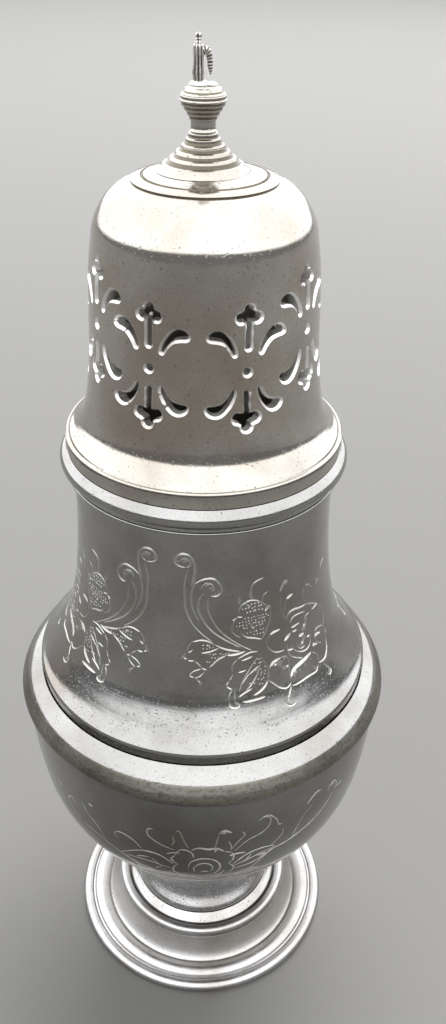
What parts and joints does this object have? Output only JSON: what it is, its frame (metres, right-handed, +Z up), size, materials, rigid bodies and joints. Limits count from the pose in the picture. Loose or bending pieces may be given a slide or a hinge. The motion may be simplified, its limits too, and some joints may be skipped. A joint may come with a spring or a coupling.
{
  "type": "sugar caster",
  "caption": "Tall baluster sugar caster on a stepped round foot, with a rounded bowl, a waisted neck and a push-fit pierced cover that has a small finial.",
  "frame": {"origin": "on the surface the caster stands on, at the middle of the foot", "axes": "+Z up along the caster's axis; -Y faces the picture's camera; +X to the right in the picture"},
  "size_m": [0.067, 0.067, 0.1735],
  "materials": {
    "polished_silver": "polished silver plate with light tarnish and fine wear",
    "worn_silver": "cast silver, worn and a little darker",
    "inner_metal": "dull unpolished plate"
  },
  "bodies": {
    "caster_body": {"foot_rim_wire": "polished_silver", "foot_dome": "polished_silver", "foot_bead": "polished_silver", "stem": "polished_silver", "bowl": "polished_silver", "shoulder_girdle": "polished_silver", "upper_body": "polished_silver", "neck_band": "polished_silver", "lip_bead": "polished_silver"},
    "sleeve": {"cover_sleeve": "inner_metal"},
    "cover": {"cover_rim": "polished_silver", "pierced_dome": "polished_silver", "crown_plate": "polished_silver", "finial_base": "polished_silver", "finial_knop": "polished_silver", "finial_cap": "polished_silver", "finial_post": "worn_silver", "finial_tip": "worn_silver", "finial_leaf": "worn_silver", "finial_stud": "inner_metal", "stud_washer": "inner_metal", "stud_nut": "inner_metal"}
  },
  "joints": [
    {"name": "lid_lift", "type": "slide", "parent": "caster_body", "child": "sleeve", "axis": [0, 0, 1], "range_m": [0, 0.06]},
    {"name": "lid_turn", "type": "hinge", "parent": "sleeve", "child": "cover", "pos_m": [0, 0, 0.1175], "axis": [0, 0, 1], "continuous": true}
  ]
}
